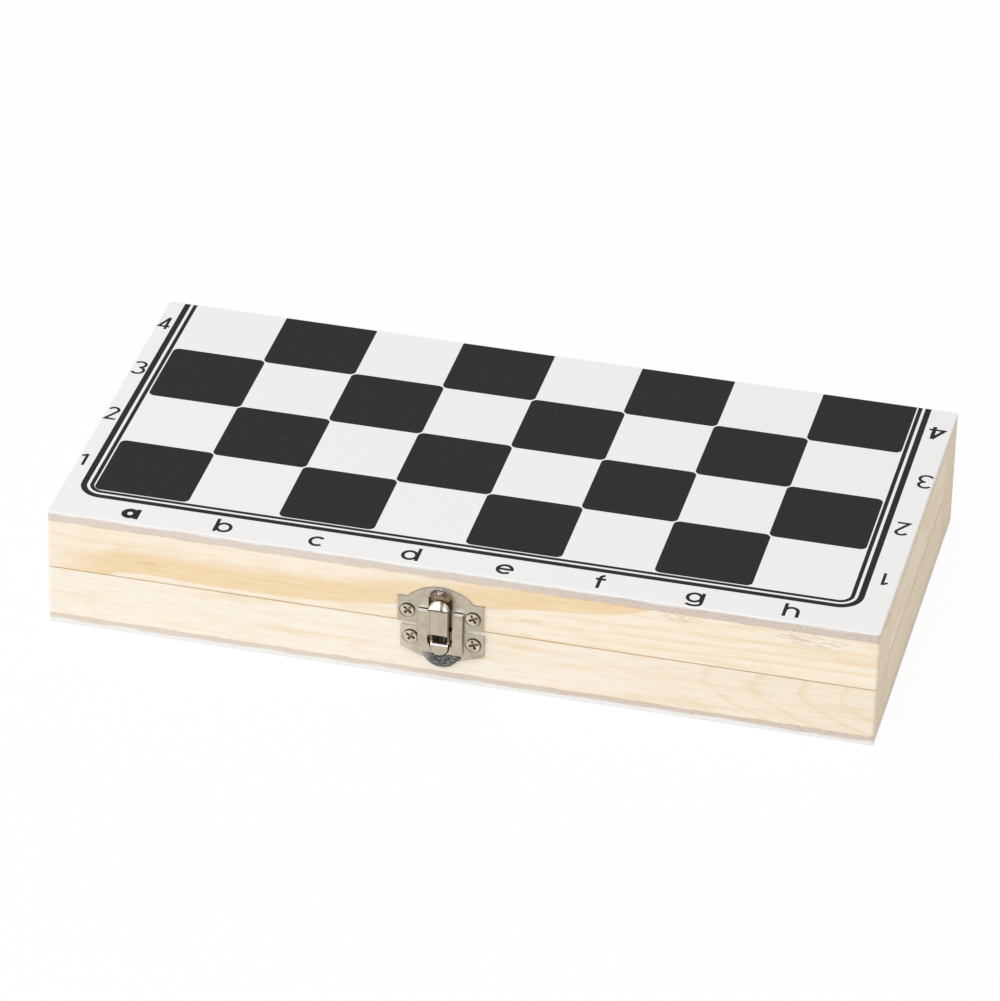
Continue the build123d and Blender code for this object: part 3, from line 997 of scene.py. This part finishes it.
@dataclass(frozen=True)
class Pen:
    """Draws letters and figures as strokes of one width, in millimetres from the glyph's own middle.

    Every stroke is a strip of flat quads. Overlapping strips are merged when the glyph is made solid.
    """

    width: float = 1.02
    steps: int = 6

    def line(self, *points: Point) -> Strokes:
        """A run of straight strokes with mitred corners.

        Args:
            points: The places that the pen passes.

        Returns:
            The strip's quads.
        """
        half = self.width / 2
        spots = [Vector(point) for point in points]
        sides = []
        for number, spot in enumerate(spots):
            ways = []
            if number > 0:
                ways.append((spot - spots[number - 1]).normalized())
            if number < len(spots) - 1:
                ways.append((spots[number + 1] - spot).normalized())
            way = sum(ways, Vector((0, 0))).normalized()
            normal = Vector((-way.y, way.x))
            stretch = half / max(normal.dot(Vector((-ways[0].y, ways[0].x))), 0.3)
            sides.append((spot + normal * stretch, spot - normal * stretch))
        return [[tuple(a[0]), tuple(a[1]), tuple(b[1]), tuple(b[0])] for a, b in zip(sides, sides[1:])]

    def arc(self, centre: Point, radii: Point, start: float, end: float) -> Strokes:
        """A curved stroke along an ellipse.

        Args:
            centre: The ellipse's middle.
            radii: Its half width and half height, at the middle of the stroke.
            start: The angle at which it starts, in degrees.
            end: The angle at which it ends.

        Returns:
            The strip's quads.
        """
        count = max(2, ceil(abs(end - start) / 90 * self.steps))
        angles = [radians(start + (end - start) * step / count) for step in range(count + 1)]
        rails = []
        for side in (1, -1):
            wide, tall = radii[0] + side * self.width / 2, radii[1] + side * self.width / 2
            rails.append([(centre[0] + wide * cos(a), centre[1] + tall * sin(a)) for a in angles])
        outer, inner = rails
        return [[outer[step], inner[step], inner[step + 1], outer[step + 1]] for step in range(count)]


@dataclass(frozen=True)
class Alphabet:
    """The plain rounded letters and figures of the board's edge, in millimetres.

    A glyph's origin is the middle of its foot line. Bowls have the half width and the low height, stems the
    tall height, and figures their own width and height. Two stacked rings share a figure's height in the parts
    of ring_shares, lower ring first.
    """

    pen: Pen = Pen()
    bold: Pen = Pen(width=1.7)
    broad: Pen = Pen(width=1.35)
    thin: Pen = Pen(width=0.88)
    half: float = 2.65
    low: float = 5.2
    tall: float = 6.7
    figure_wide: float = 1.4
    figure_tall: float = 6.9
    ring_shares: Point = (0.265, 0.235)

    def ring(self, pen: Pen, side: int) -> Strokes:
        """The round bowl of a letter, right of its stem for a side of 1 and left of it for -1."""
        outer = self.half - 0.15
        return pen.arc((0.15 * side, self.low / 2), (outer - pen.width / 2, (self.low - pen.width) / 2), 0, 360)

    def side(self, pen: Pen, side: int) -> float:
        """Where the stem stands when the bowl is on this side of it."""
        return -side * (self.half - pen.width / 2)

    def stem(self, pen: Pen, x: float, low: float, high: float) -> Strokes:
        """An upright stroke."""
        return pen.line((x, low), (x, high))

    def bowl_radii(self) -> Point:
        """The half width and half height of an open bowl."""
        return self.half - 0.1 - self.pen.width / 2, (self.low - self.pen.width) / 2

    def a(self) -> Strokes:
        """The one heavy letter."""
        return self.ring(self.bold, -1) + self.stem(self.broad, self.side(self.broad, -1), 0, self.low)

    def b(self) -> Strokes:
        """Bowl right of a tall stem."""
        return self.ring(self.pen, 1) + self.stem(self.pen, self.side(self.pen, 1), 0, self.tall)

    def c(self) -> Strokes:
        """An open bowl."""
        return self.pen.arc((0.2, self.low / 2), self.bowl_radii(), 48, 312)

    def d(self) -> Strokes:
        """Bowl left of a tall stem."""
        return self.ring(self.pen, -1) + self.stem(self.pen, self.side(self.pen, -1), 0, self.tall)

    def e(self) -> Strokes:
        """An open bowl with a bar.

        Returns:
            Its strokes.
        """
        middle, (wide, tall) = self.low / 2, self.bowl_radii()
        bar = self.pen.line((-wide, middle), (wide + self.pen.width / 2, middle))
        return self.pen.arc((0, middle), (wide, tall), 0, 318) + bar

    def f(self) -> Strokes:
        """A hooked stem with a bar.

        Returns:
            Its strokes.
        """
        x, hook = -0.3, 1.15
        top = self.tall + 0.5 - self.pen.width / 2 - hook
        bar = self.pen.line((-1.6, self.low - 0.45), (1.35, self.low - 0.45))
        return self.stem(self.pen, x, 0, top + 0.02) + self.pen.arc((x + hook, top), (hook, hook), 90, 180) + bar

    def g(self) -> Strokes:
        """Bowl with a hooked tail.

        Returns:
            Its strokes.
        """
        x, foot = self.side(self.pen, -1), -0.1
        hook = self.pen.arc((0, foot), (x, 1.4), 0, -155)
        return self.ring(self.pen, -1) + self.stem(self.pen, x, foot, self.low) + hook

    def h(self) -> Strokes:
        """A tall stem with an arch.

        Returns:
            Its strokes.
        """
        arch = 1.85
        top = self.low - self.pen.width / 2 - arch
        legs = self.stem(self.pen, -arch, 0, self.tall) + self.stem(self.pen, arch, 0, top)
        return legs + self.pen.arc((0, top), (arch, arch), 0, 180)

    def one(self) -> Strokes:
        """A stem with a short flag."""
        x, top = 0.6, self.figure_tall
        return self.stem(self.thin, x, 0, top) + self.thin.line((-0.85, top - 1.3), (x, top - 0.3))

    def two(self) -> Strokes:
        """A hook that runs down to a flat foot.

        Returns:
            Its strokes.
        """
        wide, foot, end = self.figure_wide, self.thin.width / 2, -38
        top = self.figure_tall - foot - wide
        lean = (wide * cos(radians(end)), top + wide * sin(radians(end)))
        hook = self.thin.arc((0, top), (wide, wide), 165, end)
        return hook + self.thin.line(lean, (-wide, foot), (wide + 0.3, foot))

    def stacked(self, wide: float, step: float, ends: tuple[Point, Point]) -> Strokes:
        """Two arcs, one standing on the other.

        Args:
            wide: The lower one's half width.
            step: How much less the upper one has.
            ends: The angles at which the lower and the upper one start and end.

        Returns:
            The arcs' quads.
        """
        lower, upper = [(self.figure_tall - self.thin.width) * share for share in self.ring_shares]
        foot = self.thin.width / 2
        low = self.thin.arc((0, foot + lower), (wide, lower), *ends[0])
        return low + self.thin.arc((0, foot + 2 * lower + upper), (wide - step, upper), *ends[1])

    def three(self) -> Strokes:
        """Two stacked hooks."""
        return self.stacked(self.figure_wide + 0.4, 0.15, ((-150, 90), (-90, 150)))

    def four(self) -> Strokes:
        """A slope, a bar and a stem."""
        x, bar, wide, top = 0.7, 1.7, self.figure_wide, self.figure_tall
        return self.thin.line((x, top), (-wide - 0.1, bar), (wide + 0.4, bar)) + self.stem(self.thin, x, 0, top)

    def five(self) -> Strokes:
        """A flat cap, a short stem and a bowl.

        Returns:
            Its strokes.
        """
        wide, foot, bowl = self.figure_wide, self.thin.width / 2, 2.0
        top = self.figure_tall - foot
        cap = self.thin.line((wide - 0.1, top), (-wide + 0.5, top), (-wide + 0.25, foot + bowl + 0.95))
        return cap + self.thin.arc((-0.1, foot + bowl), (wide + 0.1, bowl), 140, -145)

    def six(self) -> Strokes:
        """A bowl under a leaning stroke.

        Returns:
            Its strokes.
        """
        wide, foot = self.figure_wide, self.thin.width / 2
        bowl = self.thin.arc((0, foot + wide), (wide, wide), 0, 360)
        return bowl + self.thin.line((-wide + 0.15, foot + wide + 0.7), (0.8, self.figure_tall - 0.2))

    def seven(self) -> Strokes:
        """A flat cap and a leaning stem."""
        top = self.figure_tall - self.thin.width / 2
        return self.thin.line((-self.figure_wide - 0.1, top), (self.figure_wide, top), (-0.6, 0))

    def eight(self) -> Strokes:
        """Two stacked rings."""
        return self.stacked(self.figure_wide, 0.25, ((0, 360), (0, 360)))

    def letters(self) -> list[Callable[[], Strokes]]:
        """The eight file letters in order."""
        return [self.a, self.b, self.c, self.d, self.e, self.f, self.g, self.h]

    def figures(self) -> list[Callable[[], Strokes]]:
        """The eight rank figures in order."""
        return [self.one, self.two, self.three, self.four, self.five, self.six, self.seven, self.eight]


def left_turning(quad: list[Point]) -> list[Point]:
    """The same quad with its corners counter-clockwise."""
    area = sum(a[0] * b[1] - a[1] * b[0] for a, b in zip(quad, quad[1:] + quad[:1]))
    return quad if area > 0 else quad[::-1]


def merged(quads: Strokes) -> tuple[list[Vector], list[list[int]]]:
    """Merges overlapping flat quads into one sheet without overlaps.

    Args:
        quads: The quads, each as four points.

    Returns:
        The sheet's points and its faces.
    """
    points = [Vector(point) for quad in quads for point in left_turning(quad)]
    faces = [list(range(4 * number, 4 * number + 4)) for number in range(len(quads))]
    spots, _, parts, _, _, sources = delaunay_2d_cdt(points, [], faces, 1, 1e-4)
    return spots, [part for part, source in zip(parts, sources) if source]


@dataclass
class Glyphs:
    """Flat printed glyphs that together make one piece of ink, on one side of the box."""

    name: str
    body: Body
    height: float
    up: int
    ink: float = 0.03
    proud: float = 0.012
    mesh: bmesh.types.BMesh = field(default_factory=bmesh.new)

    def stamp(self, quads: Strokes, x: float, y: float, turn: float) -> None:
        """Adds one glyph as a thin closed solid.

        Args:
            quads: The glyph's strokes.
            x: Where the middle of its foot line lies along the box, in millimetres.
            y: Where it lies across the box.
            turn: The glyph's turn seen from outside, in degrees.
        """
        spots, faces = merged(quads)
        place = Matrix.Translation((x, y, 0)) @ Matrix.Rotation(radians(turn * self.up), 4, "Z")
        if self.up < 0:
            place = place @ Matrix.Scale(-1, 4, (1, 0, 0))
        outer = self.height + self.up * self.proud
        sheets = [
            [self.mesh.verts.new(place @ Vector((s.x, s.y, level)) * MM) for s in spots]
            for level in (outer, outer - self.up * self.ink)
        ]
        for sheet in sheets:
            for face in faces:
                self.mesh.faces.new([sheet[corner] for corner in face])
        steps = {step: None for face in faces for step in zip(face, face[1:] + face[:1])}
        for start, end in [step for step in steps if step[::-1] not in steps]:
            self.mesh.faces.new([sheets[0][start], sheets[0][end], sheets[1][end], sheets[1][start]])

    def piece(self, material: bpy.types.Material) -> Thing:
        """Makes the piece and puts it on its body.

        Args:
            material: Its ink.

        Returns:
            The piece.
        """
        loose = [vert for vert in self.mesh.verts if not vert.link_faces]
        bmesh.ops.delete(self.mesh, geom=loose, context="VERTS")
        bmesh.ops.recalc_face_normals(self.mesh, faces=self.mesh.faces)
        data = bpy.data.meshes.new(self.name)
        self.mesh.to_mesh(data)
        self.mesh.free()
        data.materials.append(material)
        thing = bpy.data.objects.new(self.name, data)
        bpy.context.scene.collection.objects.link(thing)
        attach(thing, self.body.value)
        return thing


# Sub-assemblies


def dress(node: str, material: bpy.types.Material) -> Thing:
    """Gives a carried-over node its material.

    Args:
        node: The node's name.
        material: The material.

    Returns:
        The node's object.
    """
    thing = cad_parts[node]
    for slot in thing.material_slots:
        slot.material = material
    log.info("%s: %s", node, material.name)
    return thing


@dataclass
class Walls:
    """The eight pine strips of both trays. Their sharp edges are sanded round by a fraction of a millimetre."""

    sanded: float = 0.3
    weld: float = 0.001
    sharp_angle: float = 40.0
    upper_front_ground: str = "#FFF3E0"
    upper_front_late: str = "#F2D6A6"
    lower_front_ground: str = "#FEF5E7"
    # Browner, wider painted shade along the seam of the side strips
    side_seam_shade: str = "#A98558"
    side_seam_shade_reach: float = 0.45

    def long_strips(self) -> dict[str, Pine]:
        """The front and back strips, each with its own figure.

        Returns:
            The finish of each strip, by its node's name.
        """
        return {
            "upper_front_wall": FlamedPine(
                "pine_upper_front", seed=11, glue_height=UPPER_GLUE, strength=0.6,
                ground=self.upper_front_ground, late=self.upper_front_late),
            "lower_front_wall": Pine(
                "pine_lower_front", seed=23, ground=self.lower_front_ground, streak=0.45, tan_right=0.2,
                rings=Rings(33, 15.5, -0.10, 0.0, -0.0006, 2.7, FRONT, start=45.0, rise=0.68)),
            "upper_back_wall": Pine(
                "pine_upper_back", seed=31, glue_height=UPPER_GLUE, rings=Rings(60, 40, 0.03, 0.05, spacing=3.0)),
            "lower_back_wall": Pine("pine_lower_back", seed=47, rings=Rings(20, 8, 0.10, spacing=2.4)),
        }

    def side_strips(self) -> dict[str, Pine]:
        """The side strips, each with its own figure and browner painted shade along the seam.

        Returns:
            The finish of each strip, by its node's name.
        """
        strips = {
            "upper_left_wall": Pine(
                "pine_upper_left", seed=53, glue_height=UPPER_GLUE, tan=0.1,
                rings=Rings(-160, 30, 0.1, 0.02, spacing=2.8)),
            "lower_left_wall": Pine(
                "pine_lower_left", seed=61, tan=0.15, rings=Rings(-90, 3, 0.12, 0.03, spacing=2.5)),
            "upper_right_wall": Pine(
                "pine_upper_right", seed=71, glue_height=UPPER_GLUE, tan=0.15,
                rings=Rings(70, 34, 0.05, 0.02, spacing=3.2)),
            "lower_right_wall": Pine(
                "pine_lower_right", seed=83, tan=0.2, strength=0.7,
                rings=Rings(150, 30, 0.12, 0.03, spacing=2.4)),
        }
        shared = {"grain": Grain.ACROSS_BOX, "seam": self.side_seam_shade, "seam_shade_reach": self.side_seam_shade_reach}
        return {node: replace(finish, **shared) for node, finish in strips.items()}

    def soften(self, thing: Thing) -> None:
        """Rounds the sharp edges of a strip a little.

        Args:
            thing: The strip.
        """
        weld = thing.modifiers.new("weld", "WELD")
        weld.merge_threshold = self.weld * MM
        bevel = thing.modifiers.new("soften", "BEVEL")
        bevel.width = self.sanded * MM
        bevel.segments = 2
        bevel.limit_method = "ANGLE"
        bevel.angle_limit = radians(self.sharp_angle)
        normals = thing.modifiers.new("normals", "WEIGHTED_NORMAL")
        normals.keep_sharp = True

    def make(self) -> None:
        """Dresses every strip."""
        for node, finish in {**self.long_strips(), **self.side_strips()}.items():
            self.soften(dress(node, finish.build()))


@dataclass
class PrintedHalf:
    """One panel with half of the board printed on it, and the coordinates along three of its edges.

    The figures stand beside the middles of their squares only roughly, as the printer set them.
    """

    body: Body
    panel: str
    board_print: str
    up: int
    ranks: tuple[int, ...]
    spray: float
    square: float = 27.25
    left: float = -110.5
    letter_foot: float = -59.6
    letter_shift: float = 0.05
    left_figures: tuple[Point, ...] = ((-118.4, -32.3), (-117.75, -5.4), (-117.75, 21.7), (-117.65, 48.8))
    right_figures: tuple[Point, ...] = ((116.2, -33.4), (115.8, -5.9), (117.65, 21.1), (115.9, 48.6))
    figure_heights: tuple[float, ...] = (6.3, 7.2, 7.5, 6.9)
    right_stretch: tuple[float, ...] = (1.0, 1.1, 1.08, 1.35)

    def coordinates(self) -> list[Glyphs]:
        """Stamps the letters along the front edge and the figures along both ends.

        Returns:
            The letters and the figures.
        """
        side = "top" if self.up > 0 else "bottom"
        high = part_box(self.panel)[1 if self.up > 0 else 0].z / MM
        alphabet = Alphabet()
        letters = Glyphs(f"{side}_file_letters", self.body, high, self.up)
        for file, letter in enumerate(alphabet.letters()):
            middle = self.left + (file + 0.5) * self.square + self.letter_shift
            letters.stamp(letter(), middle, self.letter_foot, 0)
        figures = Glyphs(f"{side}_rank_figures", self.body, high, self.up)
        turned = 0 if self.up > 0 else 180
        places = zip(self.ranks, self.figure_heights, self.left_figures, self.right_figures, self.right_stretch)
        for rank, tall, left, right, stretch in places:
            figure = replace(alphabet, figure_tall=tall).figures()[rank - 1]()
            wider = [[(x * stretch, y) for x, y in quad] for quad in figure]
            figures.stamp(figure, left[0], left[1] - self.up * tall / 2, turned)
            figures.stamp(wider, right[0], right[1] + self.up * tall / 2, turned + 180)
        return [letters, figures]

    def make(self, ink: bpy.types.Material) -> None:
        """Dresses the panel and its print, and stamps the coordinates.

        Args:
            ink: The ink of the print.
        """
        dress(self.panel, PaintedBoard(f"white_spray_{self.panel}", up=self.up, spray=self.spray).build())
        dress(self.board_print, ink)
        for glyphs in self.coordinates():
            log.info("%s rides on %s", glyphs.piece(ink).name, self.body.value)


@dataclass
class Latch:
    """The sprung lever latch: two plates, the lever with its pin and spring, and four screws."""

    plate: Nickel = FootedNickel("nickel_plate_satin_lower")
    strike: Nickel = HoodedNickel("nickel_plate_satin_upper")
    lever: Nickel = HighlitNickel("nickel_plate_highlit", tone="#CABDAB", dull="#BDB09E", reach=0.3)
    screw: Nickel = CrossedNickel(
        "nickel_plate_screw", tone="#DCD1C1", dull="#AFA292", roughness=0.3, reach=0.9)
    # The latch's pin and spring lie in the dark window under the lever; their dark tones are painted shade
    pin: DrawnSteel = DrawnSteel("drawn_steel_latch_pin", tone="#6A5C4C")
    spring: DrawnSteel = DrawnSteel("spring_steel_wire", tone="#4A3D30")

    def make(self) -> None:
        """Dresses every piece of the latch."""
        finishes = {
            "latch_plate": self.plate, "strike_plate": self.strike, "latch_lever": self.lever,
            "latch_pin": self.pin, "latch_spring": self.spring,
        }
        for node, finish in finishes.items():
            dress(node, finish.build())
        screws = self.screw.build()
        for node in ("latch_plate_screws", "strike_plate_screws"):
            dress(node, screws)


@dataclass
class Hinges:
    """Both butt hinges: their leaves, pins and screws."""

    leaf: Nickel = Nickel("nickel_plate_hinge", roughness=0.34)
    pin: DrawnSteel = DrawnSteel("drawn_steel_hinge_pin")
    screw: Nickel = Nickel("nickel_plate_hinge_screw", roughness=0.3, reach=0.9)
    sides: tuple[str, str] = ("left", "right")

    def make(self) -> None:
        """Dresses every piece of both hinges."""
        leaf, pin, screw = self.leaf.build(), self.pin.build(), self.screw.build()
        for side in self.sides:
            dress(f"{side}_hinge_lower_leaf", leaf)
            dress(f"{side}_hinge_upper_leaf", leaf)
            dress(f"{side}_hinge_pin", pin)
        for node in ("lower_hinge_screws", "upper_hinge_screws"):
            dress(node, screw)


@dataclass
class Studio:
    """A white floor, one large soft lamp from the front left, even fill, and the camera.

    The aim, the distance and the floor's gap are in millimetres, the floor's size and the lamp in metres, and
    the angles in degrees.
    """

    aim: Point3 = (-4.4, 7.3, 18.5)
    distance: float = 1757.0
    azimuth: float = 12.888
    elevation: float = 31.729
    roll: float = 1.481
    focal_pixels: float = 6045.1
    image_width: int = 1000
    sensor: float = 36.0
    clip: Point = (0.1, 20.0)
    fill: float = 0.59
    floor_tone: str = "#F4F4F4"
    floor_size: float = 4.0
    floor_gap: float = 0.2
    floor_lift: float = 0.95
    key_place: Point3 = (-0.8, -1.17, 1.82)
    key_size: float = 3.0
    key_power: float = 36.5

    def white_background(self, tree: Tree) -> Value:
        """A share of 1 for rays from the camera and for reflections and refractions.

        Args:
            tree: The tree that gets the nodes.

        Returns:
            The share.
        """
        rays = add(tree, "LightPath")
        kinds = ("Is Camera Ray", "Is Glossy Ray", "Is Transmission Ray")
        return reduce(Value.most, [rays.output(kind) for kind in kinds])

    def world(self) -> None:
        """White to the eye, and a dimmer even fill for the object."""
        world = bpy.data.worlds.new("studio")
        tree = cleared(world)
        strength = self.white_background(tree) * (1 - self.fill) + self.fill
        light = add(tree, "Background", {"Color": (1, 1, 1, 1), "Strength": strength})
        add(tree, "OutputWorld", {"Surface": light})
        bpy.context.scene.world = world

    def floor(self) -> None:
        """A pale floor that keeps a faint shadow."""
        material = bpy.data.materials.new("white_floor")
        tree = cleared(material)
        matt = add(tree, "BsdfDiffuse", {"Color": self.floor_tone})
        bright = add(tree, "Emission", {"Color": (1, 1, 1, 1), "Strength": 1.0})
        share = self.white_background(tree) * self.floor_lift
        mixed = add(tree, "MixShader", {0: share, 1: matt, 2: bright})
        add(tree, "OutputMaterial", {"Surface": mixed})
        data = bpy.data.meshes.new("floor")
        half, low = self.floor_size / 2, -self.floor_gap * MM
        corners = [(x * half, y * half, low) for x, y in ((-1, -1), (1, -1), (1, 1), (-1, 1))]
        data.from_pydata(corners, [], [(0, 1, 2, 3)])
        data.materials.append(material)
        thing = bpy.data.objects.new("floor", data)
        bpy.context.scene.collection.objects.link(thing)

    def key(self) -> None:
        """The square soft lamp, which looks at the box."""
        data = bpy.data.lights.new("key", "AREA")
        data.shape = "SQUARE"
        data.size = self.key_size
        data.energy = self.key_power
        thing = bpy.data.objects.new("key", data)
        way = Vector(self.aim) * MM - Vector(self.key_place)
        turn = way.to_track_quat("-Z", "Y").to_matrix().to_4x4()
        thing.matrix_world = Matrix.Translation(self.key_place) @ turn
        bpy.context.scene.collection.objects.link(thing)

    def camera(self) -> None:
        """The photograph's point of view."""
        data = bpy.data.cameras.new("camera")
        data.sensor_fit = "HORIZONTAL"
        data.sensor_width = self.sensor
        data.lens = self.focal_pixels * self.sensor / self.image_width
        data.clip_start, data.clip_end = self.clip
        around, up = radians(self.azimuth), radians(self.elevation)
        back = Vector((sin(around) * cos(up), -cos(around) * cos(up), sin(up)))
        place = (Vector(self.aim) + back * self.distance) * MM
        turn = Matrix.Rotation(around, 4, "Z") @ Matrix.Rotation(radians(90) - up, 4, "X")
        thing = bpy.data.objects.new("camera", data)
        thing.matrix_world = Matrix.Translation(place) @ turn @ Matrix.Rotation(radians(self.roll), 4, "Z")
        bpy.context.scene.collection.objects.link(thing)
        bpy.context.scene.camera = thing

    def make(self) -> None:
        """Sets up the whole studio."""
        bpy.context.scene.view_settings.view_transform = "Standard"
        self.world()
        self.floor()
        self.key()
        self.camera()


def main() -> None:
    """Dresses the box and sets up the studio."""
    logging.basicConfig(level=logging.INFO, format="%(name)s: %(message)s")
    ink = ScreenInk("screen_ink_charcoal").build()
    Walls().make()
    PrintedHalf(Body.LID, "top_panel", "top_board_print", 1, (1, 2, 3, 4), 0.65).make(ink)
    PrintedHalf(
        Body.BASE, "bottom_panel", "bottom_board_print", -1, (8, 7, 6, 5), 1.5,
        left_figures=tuple((-117.3, y) for _, y in PrintedHalf.left_figures), right_stretch=(1.0,) * 4,
    ).make(ink)
    Latch().make()
    Hinges().make()
    Studio().make()


if __name__ == "__main__":
    main()
